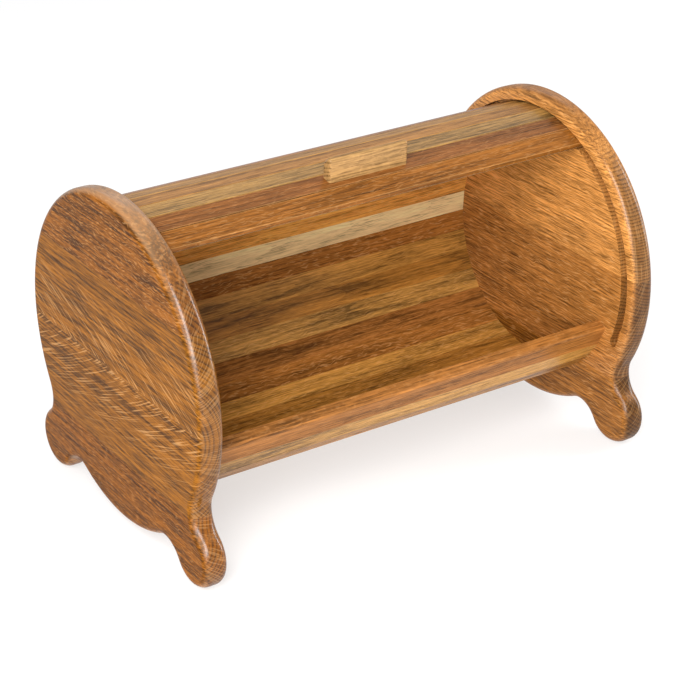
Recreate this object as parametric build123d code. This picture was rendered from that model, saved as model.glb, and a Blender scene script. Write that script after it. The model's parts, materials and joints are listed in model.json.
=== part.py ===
from build123d import *
import math
import os

# Bread box with a roll top, in millimetres. X runs along the width, -Y is the front and +Z is up.
# The origin is on the ground, midway between the four feet.
# Angles turn about the panels' centre line, from the front (0) over the top (90) to the back (180).

overall_width = 420.0
panel_thickness = 20.0
disc_radius = 135.0
disc_height = 139.0  # centre of the round panels above the ground
edge_round = 7.2  # round-over on both edges of the panels' rim

foot_reach = 109.5  # from the centre line to the middle of a foot's round tip, along Y
foot_drop = 114.5  # the same, downwards
foot_radius = 25.2  # a little more than the height left under its middle, which leaves a flat sole
foot_neck = 21.5  # radius of the hollows where a foot leaves the disc

left_joints = (-80.0, 69.0)  # glue lines of the left panel's boards, above or below the disc centre
right_joints = (-80.0, 14.0)  # the same on the right panel

groove_outer = 124.5
groove_width = 7.5
groove_depth = 8.0
lid_rest_angle = 62.1  # leading edge of the lid when it is open
lid_closed_angle = -23.0
lid_gap = 0.3  # least clearance of the lid in its groove
# The lid's leading edge bears on the groove's outer wall, and from settled_slats on, on its inner wall.
settled_slats = 6
settle_power = 1.5  # how gradually it changes from one to the other
slat_count = 18
slat_pitch = 8.6
slat_thickness = 4.6
slat_bevel = 0.35
canvas_thickness = 0.5

shell_outer = 108.0  # to the corners between the staves
shell_inner = 97.0  # to the middle of each flat inner face
stave_count = 21
stave_pitch = 10.55
sill_angle = -20.6  # top of the first stave, the front sill
sill_round = 2.0

grip_length = 72.0
grip_front = -3.2  # foot of the grip's front face, behind the middle of the second slat
grip_depth = 10.2
grip_lean = 10.0  # degrees that the grip leans back from the slat's square
grip_height = 18.9
grip_top = 4.2  # depth of its flat top; from there it slopes down to its rear face
grip_rear_height = 12.0
grip_round = 2.2
screw_spread = 40.0
screw_radius = 1.5
screw_head_radius = 3.2
screw_length = 15.0
recess_length = 3.6  # cross recess in a screw's head
recess_width = 0.8
recess_depth = 1.2
fit_gap = 0.05  # between a screw or dowel and its hole

dowel_radius = 2.5
dowel_length = 24.0
dowel_in_panel = 10.0
dowelled_staves = (1, 4, 7, 10, 13, 17, 21)

inner_half_width = overall_width / 2 - panel_thickness
groove_inner = groove_outer - groove_width


def at(radius, angle):
    """The (y, z) point at a radius and an angle about the panels' centre line."""
    turn = math.radians(angle)
    return (-radius * math.cos(turn), disc_height + radius * math.sin(turn))


def bar(section, x_low, x_high):
    """A straight bar along X with a closed (y, z) section."""
    with BuildPart() as made:
        with BuildSketch(Plane.YZ.offset(x_low)):
            with BuildLine():
                Polyline(*section, close=True)
            make_face()
        extrude(amount=x_high - x_low)
    return made.part


def rod(radius, x_low, x_high, centre):
    """A round rod along X about a (y, z) centre."""
    middle = Location((x_low, *centre), (0, 90, 0))
    return middle * Cylinder(radius, x_high - x_low, align=(Align.CENTER, Align.CENTER, Align.MIN))


def panel_outline():
    """A disc and two round-tipped feet, with the necks between them hollowed out by arcs."""
    with BuildSketch(Plane.YZ) as outline:
        with Locations((0, disc_height)):
            Circle(disc_radius)
        with Locations(*[(side * foot_reach, disc_height - foot_drop) for side in (-1, 1)]):
            Circle(foot_radius)
        fillet(outline.vertices(), foot_neck)
    return outline.sketch


def whole_panel():
    """A side panel about x = 0 to its thickness, its rim rounded and its feet's soles flat."""
    panel = extrude(panel_outline(), panel_thickness)
    rims = panel.faces().sort_by(Axis.X)
    panel = fillet(rims[0].edges() + rims[-1].edges(), edge_round)
    below = (Align.CENTER, Align.CENTER, Align.MAX)
    return panel - Box(4 * panel_thickness, 4 * disc_radius, disc_radius, align=below)


def groove_cutter():
    """The round-ended groove that the lid's ends run in, one groove depth thick from x = 0."""
    rear_angle = lid_rest_angle + slat_count * slat_pitch
    # In the sketch's own plane angles turn from +Y over +Z, so each angle here is 180 less the lid's.
    start = 180 - rear_angle
    sweep = rear_angle - lid_closed_angle
    with BuildPart() as cutter:
        with BuildSketch(Plane.YZ):
            with BuildLine():
                outer = CenterArc((0, disc_height), groove_outer, start, sweep)
                inner = CenterArc((0, disc_height), groove_inner, start, sweep)
                ends = [Line(outer @ end, inner @ end) for end in (0, 1)]
            make_face()
            with Locations(*[end @ 0.5 for end in ends]):
                Circle(groove_width / 2)
        extrude(amount=groove_depth)
    return cutter.part


def dowel_centre(stave):
    """The middle of a stave's end, where its dowel sits."""
    return at((shell_outer + shell_inner) / 2, sill_angle - (stave - 0.5) * stave_pitch)


def panel_boards(side):
    """The boards of one panel by name, split at its glue lines; side is -1 for left, 1 for right."""
    cutter = groove_cutter()
    if side < 0:
        panel = Pos(-overall_width / 2) * whole_panel()
        panel -= Pos(-inner_half_width - groove_depth) * cutter
        joints = left_joints
    else:
        panel = Pos(inner_half_width) * whole_panel()
        panel -= Pos(inner_half_width) * cutter
        joints = right_joints
    for stave in dowelled_staves:
        ends = sorted((side * inner_half_width, side * (inner_half_width + dowel_in_panel + fit_gap)))
        panel -= rod(dowel_radius + fit_gap, *ends, dowel_centre(stave))
    levels = [0.0, *(disc_height + joint for joint in joints), disc_height + disc_radius]
    boards = {}
    for name, low, high in zip(("bottom", "middle", "top"), levels, levels[1:]):
        middle = Pos(side * (overall_width - panel_thickness) / 2, 0, low)
        upwards = (Align.CENTER, Align.CENTER, Align.MIN)
        slab = Box(2 * panel_thickness, 4 * disc_radius, high - low, align=upwards)
        boards[name] = panel & (middle * slab)
    return boards


def stave(number):
    """One stave of the fixed shell, counted down from the sill at the front, with its dowel holes."""
    start = sill_angle - (number - 1) * stave_pitch
    end = start - stave_pitch
    inner_corner = shell_inner / math.cos(math.radians(stave_pitch / 2))
    corners = [at(shell_outer, start), at(shell_outer, end), at(inner_corner, end), at(inner_corner, start)]
    made = bar(corners, -inner_half_width, inner_half_width)
    if number == 1:
        top_edge = made.edges().filter_by(Axis.X).sort_by(Axis.Z)[-2:].sort_by(Axis.Y)[0]
        made = fillet(top_edge, sill_round)
    if number in dowelled_staves:
        reach = dowel_length - dowel_in_panel + fit_gap
        for side in (-1, 1):
            ends = sorted((side * inner_half_width, side * (inner_half_width - reach)))
            made -= rod(dowel_radius + fit_gap, *ends, dowel_centre(number))
    return made


def shell_dowels(side):
    """The dowels that hold the shell to one panel, as separate solids."""
    deep_end = inner_half_width + dowel_in_panel
    ends = sorted((side * deep_end, side * (deep_end - dowel_length)))
    return Compound([rod(dowel_radius, *ends, dowel_centre(number)) for number in dowelled_staves])


lid_half_width = inner_half_width + groove_depth - lid_gap
slat_half = math.radians(slat_pitch / 2)
settled_radius = (groove_inner + lid_gap) / math.cos(slat_half)  # inner corners, low in the groove
slat_half_width = settled_radius * math.sin(slat_half)
raised_face = math.sqrt((groove_outer - lid_gap) ** 2 - slat_half_width**2)  # outer face, high in the groove
raised_radius = (raised_face - slat_thickness) / math.cos(slat_half)


def joint_radius(joint):
    """How far the inner corners at a joint are from the centre line; joint 0 is the leading edge."""
    settled = min(1, joint / settled_slats) ** settle_power
    return raised_radius + (settled_radius - raised_radius) * settled


def on_slat(number, along, out):
    """The (y, z) point a distance behind a slat's middle and a distance out from its outer face."""
    joints = (number - 1, number)
    front, rear = [Vector(*at(joint_radius(joint), lid_rest_angle + joint * slat_pitch)) for joint in joints]
    back = (rear - front).normalized()
    outward = back.rotate(Axis.Z, 90)
    point = (front + rear) / 2 + back * along + outward * (slat_thickness + out)
    return (point.X, point.Y)


def slat(number):
    """One slat with square sides, so gaps open between slats on the outside; the leading one is number 1."""
    joints = [Vector(*at(joint_radius(joint), joint * slat_pitch)) for joint in (number - 1, number)]
    half = (joints[1] - joints[0]).length / 2
    face = half - slat_bevel
    section = [on_slat(number, along, -slat_thickness) for along in (-half, half)]
    section += [on_slat(number, half, -slat_bevel), on_slat(number, face, 0)]
    section += [on_slat(number, -face, 0), on_slat(number, -half, -slat_bevel)]
    made = bar(section, -lid_half_width, lid_half_width)
    if number == 2:
        for cutter in screws(fit_gap):
            made -= cutter
    return made


def canvas():
    """The cloth on the inner side of the slats, between the panels."""
    joints = range(slat_count + 1)
    outside = [at(joint_radius(joint), lid_rest_angle + joint * slat_pitch) for joint in joints]
    depth = canvas_thickness / math.cos(slat_half)
    inside = [at(joint_radius(joint) - depth, lid_rest_angle + joint * slat_pitch) for joint in joints]
    made = bar(outside + inside[::-1], -inner_half_width + lid_gap * 2, inner_half_width - lid_gap * 2)
    for cutter in screws(fit_gap):
        made -= cutter
    return made


def grip():
    """The finger grip on the second slat: it leans back, and its top slopes down behind."""
    lean = math.tan(math.radians(grip_lean))
    front_top = grip_front + grip_height * lean
    rear = grip_front + grip_depth
    section = [
        on_slat(2, grip_front, 0),
        on_slat(2, front_top, grip_height),
        on_slat(2, front_top + grip_top, grip_height),
        on_slat(2, rear + grip_rear_height * lean, grip_rear_height),
        on_slat(2, rear, 0),
    ]
    made = bar(section, -grip_length / 2, grip_length / 2)
    base = made.faces().sort_by_distance(Vector(0, *on_slat(2, grip_front + grip_depth / 2, 0)))[0]
    free_edges = [edge for edge in made.edges() if edge not in base.edges()]
    made = fillet(free_edges, grip_round)
    for cutter in screws(fit_gap):
        made -= cutter
    return made


def screws(gap=0.0):
    """The grip's two countersunk screws, driven outwards through the slat; gap makes them cutters."""
    start = Vector(0, *on_slat(2, grip_front + grip_depth / 2, -slat_thickness - canvas_thickness))
    foot = Vector(0, *on_slat(2, grip_front + grip_depth / 2, 0))
    made = []
    for side in (-1, 1):
        shift = Vector(side * screw_spread / 2, 0, 0)
        seat = Plane(origin=start + shift, z_dir=foot - start)
        with BuildPart() as one:
            with BuildSketch(Plane.XZ):
                with BuildLine():
                    Polyline(
                        (0, 0),
                        (screw_head_radius + gap, 0),
                        (screw_radius + gap, screw_head_radius - screw_radius),
                        (screw_radius + gap, screw_length + gap),
                        (0, screw_length + gap),
                        close=True,
                    )
                make_face()
            revolve(axis=Axis.Z)
            if not gap:
                for turn in (0, 90):
                    with Locations(Rotation(0, 0, turn)):
                        Box(recess_length, recess_width, 2 * recess_depth, mode=Mode.SUBTRACT)
        made.append(seat.location * one.part)
    return made


os.makedirs("parts", exist_ok=True)
nodes = {}
for panel_side, panel_name in ((-1, "left"), (1, "right")):
    for board_name, board in panel_boards(panel_side).items():
        nodes[f"{panel_name}_panel_{board_name}_board"] = board
    nodes[f"shell_dowels_{panel_name}"] = shell_dowels(panel_side)
for stave_number in range(1, stave_count + 1):
    nodes[f"shell_stave_{stave_number:02d}"] = stave(stave_number)
for slat_number in range(1, slat_count + 1):
    nodes[f"lid_slat_{slat_number:02d}"] = slat(slat_number)
nodes["lid_canvas"] = canvas()
nodes["lid_handle"] = grip()
nodes["handle_screws"] = Compound(screws())
for node_name, shape in nodes.items():
    export_step(shape, f"parts/{node_name}.step")
print(len(nodes), "nodes")
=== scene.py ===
import json
import math
import bpy
import numpy as np
from mathutils import Matrix, Vector


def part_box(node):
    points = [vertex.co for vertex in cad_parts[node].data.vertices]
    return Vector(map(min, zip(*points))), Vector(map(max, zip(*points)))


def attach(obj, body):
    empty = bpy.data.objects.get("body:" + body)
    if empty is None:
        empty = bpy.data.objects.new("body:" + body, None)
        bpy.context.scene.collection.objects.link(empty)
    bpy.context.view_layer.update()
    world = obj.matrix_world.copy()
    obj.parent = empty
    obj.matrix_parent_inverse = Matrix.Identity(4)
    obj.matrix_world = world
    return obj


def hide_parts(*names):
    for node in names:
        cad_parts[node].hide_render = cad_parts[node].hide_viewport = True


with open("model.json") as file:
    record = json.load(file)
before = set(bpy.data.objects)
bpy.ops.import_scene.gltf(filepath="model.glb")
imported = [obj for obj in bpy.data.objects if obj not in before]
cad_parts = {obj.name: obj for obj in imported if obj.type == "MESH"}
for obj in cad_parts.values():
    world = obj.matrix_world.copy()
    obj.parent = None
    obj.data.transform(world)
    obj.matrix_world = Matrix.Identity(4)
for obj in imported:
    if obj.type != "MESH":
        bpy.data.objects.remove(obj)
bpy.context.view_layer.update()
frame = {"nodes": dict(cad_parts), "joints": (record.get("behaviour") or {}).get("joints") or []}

nodes = frame["nodes"]
axleHeight = frame["joints"][0]["pos_m"][2]  # the round panels' centre line, in metres
perMetre = 1000  # millimetres
print("frame:", len(nodes), "nodes, centre line at", axleHeight)


def tint(code, strength=1.0):  # a colour written as rrggbb, as the linear values that shaders take
    parts = [int(code[i:i + 2], 16) / 255 for i in (0, 2, 4)]
    linear = [p / 12.92 if p < 0.04045 else ((p + 0.055) / 1.055) ** 2.4 for p in parts]
    return [min(1.0, p * strength) for p in linear] + [1.0]


class Wire:  # a shader socket that takes part in Python sums
    def __init__(self, graph, socket):
        self.graph = graph
        self.socket = socket

    def __add__(self, other):
        return self.graph.math("ADD", self, other)

    def __sub__(self, other):
        return self.graph.math("SUBTRACT", self, other)

    def __rsub__(self, other):
        return self.graph.math("SUBTRACT", other, self)

    def __mul__(self, other):
        return self.graph.math("MULTIPLY", self, other)

    def __truediv__(self, other):
        return self.graph.math("DIVIDE", self, other)

    __radd__ = __add__
    __rmul__ = __mul__


class Graph:  # the node tree of one material
    def __init__(self, name):
        self.material = bpy.data.materials.new(name)
        self.material.use_nodes = True
        self.tree = self.material.node_tree
        self.tree.nodes.clear()

    def node(self, kind, settings=None, inputs=None, output=0):
        made = self.tree.nodes.new(kind)
        for key, value in (settings or {}).items():
            if key == "stops":
                while len(made.color_ramp.elements) < len(value):
                    made.color_ramp.elements.new(0.5)
                for stop, (position, colour) in zip(made.color_ramp.elements, value):
                    stop.position = position
                    stop.color = colour
            else:
                setattr(made, key, value)
        for key, value in (inputs or {}).items():
            if isinstance(value, Wire):
                self.tree.links.new(value.socket, made.inputs[key])
            else:
                made.inputs[key].default_value = value
        return Wire(self, made.outputs[output]) if made.outputs else None

    def math(self, operation, *values):
        return self.node("ShaderNodeMath", {"operation": operation}, dict(enumerate(values)))

    def vector(self, x, y, z):
        return self.node("ShaderNodeCombineXYZ", None, {0: x, 1: y, 2: z})

    def dot(self, vector, axis):
        settings = {"operation": "DOT_PRODUCT"}
        return self.node("ShaderNodeVectorMath", settings, {0: vector, 1: axis}, "Value")

    def noise(self, vector, detail=2.0, roughness=0.5, distortion=0.0):
        return self.node("ShaderNodeTexNoise", None, {
            "Vector": vector, "Scale": 1.0, "Detail": detail, "Roughness": roughness,
            "Distortion": distortion})

    def step(self, value, low, high):  # 0 below low, 1 above high, smooth between
        return self.node("ShaderNodeMapRange", {"interpolation_type": "SMOOTHSTEP"}, {
            "Value": value, "From Min": low, "From Max": high})

    def mix(self, factor, first, second, blend="MIX"):
        settings = {"data_type": "RGBA", "blend_type": blend, "clamp_factor": True}
        return self.node("ShaderNodeMix", settings, {0: factor, 6: first, 7: second}, 2)

    def surface(self, **inputs):  # finishes the material with one Principled shader
        named = {key.replace("_", " "): value for key, value in inputs.items()}
        shader = self.node("ShaderNodeBsdfPrincipled", None, named)
        self.node("ShaderNodeOutputMaterial", None, {"Surface": shader})
        return self.material


# One board of oak as a solid: rings about a pith, pores along the grain and rays across it.
# All lengths are millimetres, measured along, across and into the board from its middle. Noises are
# scaled: a point times 0.5 gives a noise that changes over about 2 mm.
plainBoard = {
    "pith": (20.0, -60.0),  # across and into the board
    "lean": (0.0, 0.0),  # how far the pith runs off across and into the board, per millimetre along
    "ring": 2.8,  # width of a year's ring
    "sway": 14, "ripple": 1.6,  # how far slow and fine waves push the rings aside
    "tone": "a7763f", "poreTone": "3a1c08", "rayTone": "d6a66e",
    "dark": 0.36, "light": 1.62,  # the darkest and lightest wood, as shares of the tone
    "rings": 0.5,  # how dark the porous start of each ring is
    "bands": 1.2, "fibre": 1.5, "pores": 0.5,  # strength of broad bands, fibres and pores
    "fine": 0.8,  # fibres per millimetre across
    "fleck": 0.45, "fleckSize": (7.0, 1.1), "fleckEdge": 0.58,  # size is along and across
    "feather": None,  # (across, rake): flecks that run off the board's heart like a feather's barbs
    "figure": 0.5,  # light and dark swing of the flecks
    "endShade": 0.85, "rays": 0.17,  # end grain's share of the tone; how pale its rays are
    "hub": None,  # across from the middle to the centre line, on a panel's board
    "rimStart": (125.5, 127),  # nearer to the centre line than this, end grain is less dark
    "rim": ("b08050", 0.0),  # painted light on the long-grain edges: its tone, and how much of it shows
    "rubbed": None,  # where the painted highlight along a slat's edges starts, across from the middle
    "edgeHighlightTone": "d9a868",
    "relief": 0.0002,  # in metres
    "sheen": 0.37,  # roughness of the wood
    "coat": (0.15, 0.26),  # thin oil film on the board's faces, and on its edges and ends
}


def oak(name, axes, middle, seed, **changes):
    board = {**plainBoard, **changes}
    g = Graph(name)
    spot = g.node("ShaderNodeTexCoord", None, None, "Object")
    along, across, deep = [
        g.dot(spot, [perMetre * c for c in axis]) - perMetre * Vector(axis).dot(middle) for axis in axes]
    shift = seed * 37.7  # moves every noise to its own place
    # sway and ripple: the trunk wanders slowly, and its fibres wave finely
    sway = g.noise(g.vector(along * 0.0045 + shift, across * 0.012, deep * 0.012)) - 0.5
    ripple = g.noise(g.vector(along * 0.04 + shift, across * 0.12, deep * 0.12)) - 0.5
    (leanAcross, leanDeep), (pithAcross, pithDeep) = board["lean"], board["pith"]
    side = across + along * leanAcross - pithAcross + sway * board["sway"] + ripple * board["ripple"]
    depth = deep + along * leanDeep - pithDeep
    # radius from the pith, and the ring's phase: radius over ring width, with fat and thin years
    radius = g.math("SQRT", side * side + depth * depth)
    fatYears = g.noise(g.vector(radius * 0.07, shift, 0.5))
    phase = g.math("FRACT", radius / board["ring"] + fatYears * 2.5)
    early = 1 - g.step(phase, 0.12, 0.6)  # 1 in the porous wood that starts each ring
    # end is 1 on end grain and flat is 1 on the two wide faces, from how the surface faces the axes
    normal = g.node("ShaderNodeNewGeometry", None, None, "Normal")
    facing = g.math("ABSOLUTE", g.dot(normal, axes[0]))
    end = g.step(facing, 0.42, 0.85)
    flat = g.step(g.math("ABSOLUTE", g.dot(normal, axes[2])), 0.6, 0.95)
    # fibre: streaks 20 to 30 times as long as wide; pores: dark dashes, thickest in early wood
    drift = across + ripple * 1.5 + sway * 5
    fine = board["fine"]
    fibre = g.noise(g.vector(along * 0.028, drift * fine + shift, deep * fine), 3.0, 0.7) - 0.5
    bands = g.noise(g.vector(along * 0.005, drift * 0.085 + shift, deep * 0.085), 2.0, 0.55) - 0.5
    cells = g.noise(g.vector(along * 0.07 + shift, drift * fine * 1.7, deep * fine * 1.7), 1.0)
    pores = g.step(cells, 0.56, 0.64) * (early * 0.7 + 0.3)
    tone = (0.5 + bands * board["bands"] + fibre * board["fibre"] * (1.35 - end * 1.05)
            - (early - 0.35) * board["rings"] * (end * 0.6 + 0.25))
    # rays on end grain: thin light lines that point at the pith
    angle = g.math("ARCTAN2", side, depth)
    spokes = g.noise(g.vector(angle * 84 + ripple * 0.6, radius * 0.05 + shift, along * 0.05), 0.0)
    rays = g.step(spokes, 0.53, 0.64) * end
    # flecks on long grain: rays cut lengthways, as short waving ribbons
    length, width = board["fleckSize"]
    if board["feather"]:
        # a barb's line: along = rake times distance from the heart, plus a little of its square
        heart, rake = board["feather"]
        out = g.math("ABSOLUTE", across - heart)
        barb = along - out * rake - out * out * 0.013 + ripple * 1.2
        flank = g.step(across - heart, -1, 1) * 9
        ribbon = g.noise(g.vector(barb * 0.4, out / length + shift, flank), 1.0, 0.4)
        reach = g.step(out, 66, 20) * 0.8 + 0.2
    else:
        wave = g.noise(g.vector(along * 0.07, across * 0.06 + shift, deep * 0.05)) - 0.5
        ribbon = g.noise(g.vector(along / length + shift, (across + wave * 9) / width, deep * 0.3), 1.0, 0.4)
        reach = 1.0
    figure = (ribbon - 0.5) * (1 - end) * reach
    flecks = g.step(ribbon, board["fleckEdge"], board["fleckEdge"] + 0.08) * (1 - end) * reach
    shades = [(place, tint(board["tone"], strength))
              for place, strength in ((0.05, board["dark"]), (0.5, 1.0), (0.95, board["light"]))]
    colour = g.node("ShaderNodeValToRGB", {"stops": shades}, {0: tone + figure * board["figure"] * 2})
    outside = 1.0  # how much of the end grain's shade applies
    if board["hub"] is not None:
        height = across - board["hub"]
        fromAxle = g.math("SQRT", height * height + along * along)
        outside = g.step(fromAxle, *board["rimStart"]) * 0.6 + 0.4
    shade = [board["endShade"]] * 3 + [1]
    colour = g.mix(end * outside, colour, g.mix(1.0, colour, shade, "MULTIPLY"))
    colour = g.mix(pores * (board["pores"] + end * 0.25), colour, tint(board["poreTone"]))
    colour = g.mix(flecks * board["fleck"] + rays * board["rays"], colour, tint(board["rayTone"]))
    # painted light on the rounded long-grain edges: a pale painted sheen on the left panel's outer boards, a
    # dark painted shade on the right panel
    rimTone, rimShare = board["rim"]
    colour = g.mix((1 - flat) * (1 - g.step(facing, 0.2, 0.75)) * rimShare, colour, tint(rimTone))
    # painted highlight: a paler band along a slat's two long edges, where its bevels catch the light
    if board["rubbed"]:
        highlightBand = g.step(g.math("ABSOLUTE", across), board["rubbed"], board["rubbed"] + 0.4)
        colour = g.mix(highlightBand * flat * 0.45, colour, tint(board["edgeHighlightTone"]))
    relief = fibre * 0.5 - pores * 0.9 - early * 0.35 + flecks * 0.25
    bump = g.node("ShaderNodeBump", None, {
        "Strength": 0.35, "Distance": board["relief"], "Height": relief})
    rough = board["sheen"] + pores * 0.2 + fibre * 0.08 + end * 0.03
    face, edge = board["coat"]
    coat = flat * (face - edge) + edge
    return g.surface(Base_Color=colour, Roughness=rough, Normal=bump, IOR=1.45, Specular_IOR_Level=0.05,
                     Coat_Weight=coat, Coat_Roughness=0.24, Coat_IOR=1.8)


def dress(name, material):
    for place in nodes[name].material_slots:
        place.material = material


# Side panels: three boards each, grain from front to back.
panelBoards = {
    "left_panel_bottom_board": {"pith": (40, -60), "ring": 3.0, "tone": "714006", "fleck": 0.12,
                                "endShade": 1.0},
    "left_panel_middle_board": {"pith": (-5, -52), "lean": (0.0, 0.01), "feather": (0.0, 1.6), "fleck": 0.38,
                                "fleckSize": (15.0, 1.0), "tone": "79490c", "ring": 3.2, "figure": 0.7,
                                "rim": ("c49a70", 0.0)},
    "left_panel_top_board": {"pith": (-72, -52), "ring": 3.2, "tone": "72420d", "fleck": 0.2, "bands": 1.5},
    "right_panel_bottom_board": {"pith": (60, -50), "ring": 2.8, "tone": "83521d", "fleck": 0.2},
    "right_panel_middle_board": {"pith": (90, -20), "tone": "9d6630", "fleck": 0.3},
    "right_panel_top_board": {"pith": (64, 2), "ring": 2.5, "tone": "bf8141", "fleck": 0.25},
}
panelSides = {  # what the three boards of a side share
    # left edges: a pale painted sheen
    "left": {"fine": 0.58, "fibre": 2.5, "coat": (0.06, 0.42), "rim": ("c49a70", 0.4)},
    # right edges: a dark painted shade
    "right": {"fibre": 1.9, "bands": 0.7, "figure": 0.4, "fleckSize": (12.0, 1.1), "rays": 0.14,
              "coat": (0.15, 0.26), "rim": ("7c4c1c", 0.6), "endShade": 0.35},
}
for number, (name, changes) in enumerate(panelBoards.items()):
    low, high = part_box(name)
    side = name.split("_")[0]
    inward = 1 if side == "left" else -1  # the side that shows is the one nearer the pith
    axes = (0, 1, 0), (0, 0, 1), (inward, 0, 0)
    hub = perMetre * (axleHeight - (low + high).z / 2)
    changes = {**panelSides[side], "hub": hub, **changes}
    dress(name, oak(name + "_oak", axes, (low + high) / 2, number + 1, **changes))
print("panels: done")


def ringAxes(degrees):  # along X, then round the centre line, then outwards, for a bar at that angle
    turn = math.radians(degrees)
    return (1, 0, 0), (0, math.sin(turn), math.cos(turn)), (0, -math.cos(turn), math.sin(turn))


def barAngle(name):  # degrees from the front over the top to a bar's middle, and that middle
    low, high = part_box(name)
    middle = (low + high) / 2
    return math.degrees(math.atan2(middle.z - axleHeight, -middle.y)), middle


# Lid slats and shell staves: one bar of oak each, so each has its own tree, tone and ring width.
slatTones = ["86521e", "7b4b21", "97713a", "9f6e36", "a0733a", "945f2b"]
staveTones = ["96602c", "b0803e", "a06c2c", "ac7a38", "96602a"]
oddStaves = {  # a pale one in the back wall, and the orange one above it
    "shell_stave_16": {"tone": "f4d49c", "dark": 0.65, "light": 1.3, "fibre": 0.9},
    "shell_stave_17": {"tone": "e29a4a"},
}
slatHighlightAndFigure = {"rubbed": 8.2, "fleck": 0.45, "figure": 0.5}  # a slat is 17.7 wide, with a painted highlight along its edges; flecks' shares of a stave's
draw = np.random.default_rng(11)
for name in sorted(nodes):
    if not name.startswith(("lid_slat", "shell_stave")):
        continue
    order = int(name[-2:])
    degrees, middle = barAngle(name)
    tones = slatTones if name.startswith("lid") else staveTones
    changes = {
        "pith": (float(draw.uniform(-26, 26)), float(draw.uniform(-70, -24))),
        "lean": (float(draw.uniform(-0.02, 0.02)), float(draw.uniform(-0.03, 0.03))),
        "ring": float(draw.uniform(2.2, 3.4)), "tone": tones[(order - 1) % len(tones)],
        "fleck": float(draw.uniform(0.05, 0.35)), "figure": float(draw.uniform(0.1, 0.4)),
    }
    changes.update(oddStaves.get(name, {}))
    if name.startswith("lid"):
        changes.update(rubbed=slatHighlightAndFigure["rubbed"], fleck=changes["fleck"] * slatHighlightAndFigure["fleck"],
                       figure=changes["figure"] * slatHighlightAndFigure["figure"])
    seed = 10 + order + 30 * name.startswith("shell")
    dress(name, oak(name + "_oak", ringAxes(degrees), middle, seed, **changes))
print("lid and shell: done")

grip = {"pith": (-14, -46), "ring": 3.6, "tone": "987446", "fleck": 0.1, "figure": 0.15}
low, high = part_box("lid_handle")
dress("lid_handle", oak("handle_oak", ringAxes(90), (low + high) / 2, 80, **grip))


screwZinc = {"bright": "c9c4b8", "dull": "8d877b", "rough": 0.28, "grain": 900.0}


def zinc(name):
    g = Graph(name)
    spot = g.node("ShaderNodeTexCoord", None, None, "Object")
    finer = g.node("ShaderNodeVectorMath", {"operation": "SCALE"}, {0: spot, "Scale": screwZinc["grain"]})
    spread = g.noise(finer, 3.0)
    shade = g.mix(spread, tint(screwZinc["bright"]), tint(screwZinc["dull"]))
    return g.surface(Base_Color=shade, Roughness=screwZinc["rough"] + spread * 0.15, Metallic=1.0)


dress("handle_screws", zinc("zinc_screw"))
beech = {"tone": "b98a50", "fleck": 0.1, "rings": 0.1, "pores": 0.1}
for side in ("left", "right"):
    name = "shell_dowels_" + side
    dress(name, oak(name + "_beech", ringAxes(90), (0, 0, axleHeight), 90, **beech))

# Canvas: a thin cloth from panel to panel. One skin is on the slats' inner faces and the other is inside
# the slats, and it has no holes for the screws: both are known faults, and a real one lies inside the lid.
canvas = {
    "threads": 1.1,  # width of two threads, in millimetres
    "thickness": 0.00045, "warm": "c9b48c", "cool": "a8946c",
    "columns": 61, "strips": 3,  # points across; strips to a slat
}


def weave(name):
    # plain weave: two crossed sine waves along the piece's own UV, which is in metres
    g = Graph(name)
    cloth = g.node("ShaderNodeUVMap", {"uv_map": "cloth"})
    across = g.dot(cloth, (perMetre, 0, 0)) * (2 * math.pi / canvas["threads"])
    down = g.dot(cloth, (0, perMetre, 0)) * (2 * math.pi / canvas["threads"])
    threads = g.math("SINE", across) * g.math("SINE", down) * 0.5 + 0.5
    slub = g.noise(g.node("ShaderNodeVectorMath", {"operation": "SCALE"}, {0: cloth, "Scale": 300.0}), 3.0)
    shade = g.mix(threads * 0.7 + slub * 0.3, tint(canvas["cool"]), tint(canvas["warm"]))
    bump = g.node("ShaderNodeBump", None, {"Strength": 0.5, "Distance": 0.00015, "Height": threads})
    return g.surface(Base_Color=shade, Roughness=0.9, Normal=bump)


def grid(name, points, cloth):
    # a surface from rows and columns of points, with a UV map from the rows' and columns' lengths
    rows, columns = points.shape[:2]
    index = np.arange(rows * columns).reshape(rows, columns)
    faces = np.stack([index[:-1, :-1], index[1:, :-1], index[1:, 1:], index[:-1, 1:]], -1).reshape(-1, 4)
    mesh = bpy.data.meshes.new(name)
    mesh.from_pydata(points.reshape(-1, 3).tolist(), [], faces.tolist())
    flat = cloth.reshape(-1, 2)[faces.reshape(-1)]
    mesh.uv_layers.new(name="cloth").data.foreach_set("uv", flat.ravel())
    piece = bpy.data.objects.new(name, mesh)
    bpy.context.scene.collection.objects.link(piece)
    return piece


slats = sorted(n for n in nodes if n.startswith("lid_slat"))
clothLow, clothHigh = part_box("lid_canvas")
corners = np.array([v.co[1:] for v in nodes["lid_canvas"].data.vertices])
reach = np.hypot(corners[:, 0], corners[:, 1] - axleHeight)
turns = np.degrees(np.arctan2(corners[:, 1] - axleHeight, -corners[:, 0])) % 360
joints = np.linspace(turns.min(), turns.max(), len(slats) + 1)
clothRadius = [reach[abs(turns - joint) < 1].max() for joint in joints]  # the slats' inner corners
joints = np.radians(joints)
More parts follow.
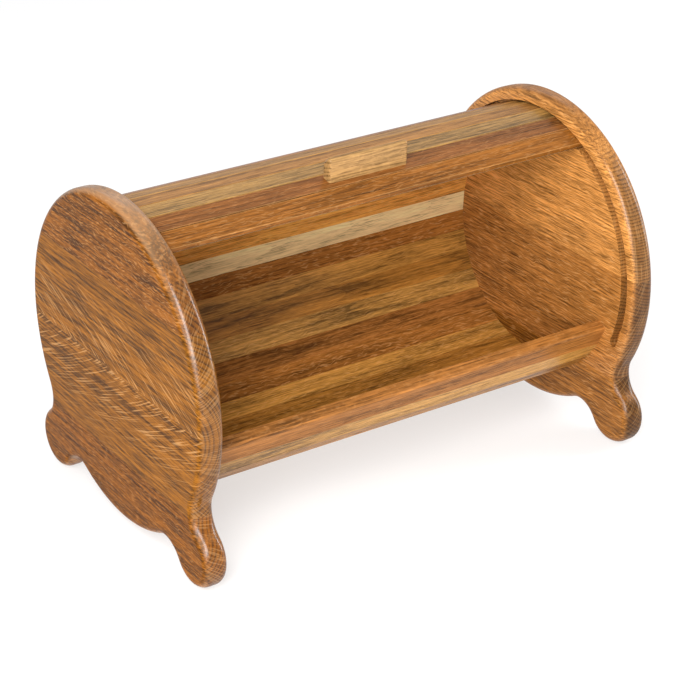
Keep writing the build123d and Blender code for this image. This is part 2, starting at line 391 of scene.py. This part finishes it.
# each facet between two joints is a chord, cut into strips; each point is on the straight line between joints
steps = np.linspace(0, len(slats), len(slats) * canvas["strips"] + 1)
ringY = np.interp(steps, range(len(joints)), clothRadius * -np.cos(joints))
ringZ = np.interp(steps, range(len(joints)), clothRadius * np.sin(joints)) + axleHeight
spanX = np.linspace(clothLow.x, clothHigh.x, canvas["columns"])
run = np.concatenate([[0], np.cumsum(np.hypot(np.diff(ringY), np.diff(ringZ)))])
shape = (len(steps), len(spanX))
acrossX, alongY, alongZ, alongRun = (
    np.broadcast_to(line, shape) for line in (spanX, ringY[:, None], ringZ[:, None], run[:, None]))
points = np.stack([acrossX, alongY, alongZ], -1)
cloth = np.stack([acrossX, alongRun], -1)
lidCloth = grid("lid_cloth", points, cloth)
thick = lidCloth.modifiers.new("thickness", "SOLIDIFY")
thick.thickness = canvas["thickness"]
thick.offset = -1.0  # the faces point at the centre line, so this thickens outwards, into the slats
lidCloth.data.materials.append(weave("canvas_weave"))
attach(lidCloth, "roll_lid")
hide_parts("lid_canvas")
print("canvas: done,", round(float(run[-1]), 4), "m long")

# Studio: a white sweep and sky, a tall soft light beside the camera, a strip and a light behind.
studio = {
    "sky": 0.6,
    "key": {"turn": -44, "rise": 32, "away": 1.8, "size": (0.7, 1.4), "power": 36},
    "fill": {"turn": -62, "rise": 7, "away": 2.2, "size": (1.2, 0.8), "power": 16},
    "strip": {"turn": 70, "rise": 18, "away": 1.6, "size": (0.35, 1.2), "power": 16},
    "back": {"turn": 150, "rise": 34, "away": 2.0, "size": (1.8, 0.8), "power": 5},
    "sweep": {"white": 0.4, "glow": 0.6},  # the floor is a lit table
}
world = bpy.data.worlds.new("studio")
bpy.context.scene.world = world
world.use_nodes = True
sky = world.node_tree.nodes["Background"]
sky.inputs["Color"].default_value = (1, 1, 1, 1)
sky.inputs["Strength"].default_value = studio["sky"]
target = Vector((0, 0, axleHeight))


def direction(turn, rise):  # unit vector from the object towards a lamp or the camera
    t, r = math.radians(turn), math.radians(rise)
    return Vector((math.sin(t) * math.cos(r), -math.cos(t) * math.cos(r), math.sin(r)))


for name in ("key", "fill", "strip", "back"):
    plan = studio[name]
    lamp = bpy.data.lights.new(name, "AREA")
    lamp.shape = "RECTANGLE"
    lamp.size, lamp.size_y = plan["size"]
    lamp.energy = plan["power"]
    stand = bpy.data.objects.new(name, lamp)
    bpy.context.scene.collection.objects.link(stand)
    stand.location = target + direction(plan["turn"], plan["rise"]) * plan["away"]
    stand.rotation_euler = (target - stand.location).to_track_quat("-Z", "Y").to_euler()

floorMesh = bpy.data.meshes.new("floor")
floorMesh.from_pydata([(-6, -6, 0), (6, -6, 0), (6, 6, 0), (-6, 6, 0)], [], [(0, 1, 2, 3)])
floor = bpy.data.objects.new("floor", floorMesh)
bpy.context.scene.collection.objects.link(floor)
sweep = Graph("white_sweep")
white = [studio["sweep"]["white"]] * 3 + [1]
lit = {"Emission_Color": (1, 1, 1, 1), "Emission_Strength": studio["sweep"]["glow"]}
floorMesh.materials.append(sweep.surface(Base_Color=white, Roughness=0.9, Specular_IOR_Level=0.0, **lit))

# Camera: looks along its own axis, set off a little across and up from the panels' centre.
view = {"turn": -33.571, "rise": 26.704, "roll": -0.112, "away": 1.7107, "across": 0.00477, "up": -0.04207,
        "lens": 109.55}
back = direction(view["turn"], view["rise"])
right = (-back).cross(Vector((0, 0, 1))).normalized()
up = right.cross(-back)
roll = math.radians(view["roll"])
right, up = math.cos(roll) * right + math.sin(roll) * up, math.cos(roll) * up - math.sin(roll) * right
camera = bpy.data.objects.new("camera", bpy.data.cameras.new("camera"))
bpy.context.scene.collection.objects.link(camera)
camera.data.lens = view["lens"]
camera.data.sensor_width = 36
place = target + back * view["away"] + right * view["across"] + up * view["up"]
camera.matrix_world = Matrix.Translation(place) @ Matrix((right, up, back)).transposed().to_4x4()
bpy.context.scene.camera = camera
bpy.context.scene.view_settings.view_transform = "Standard"
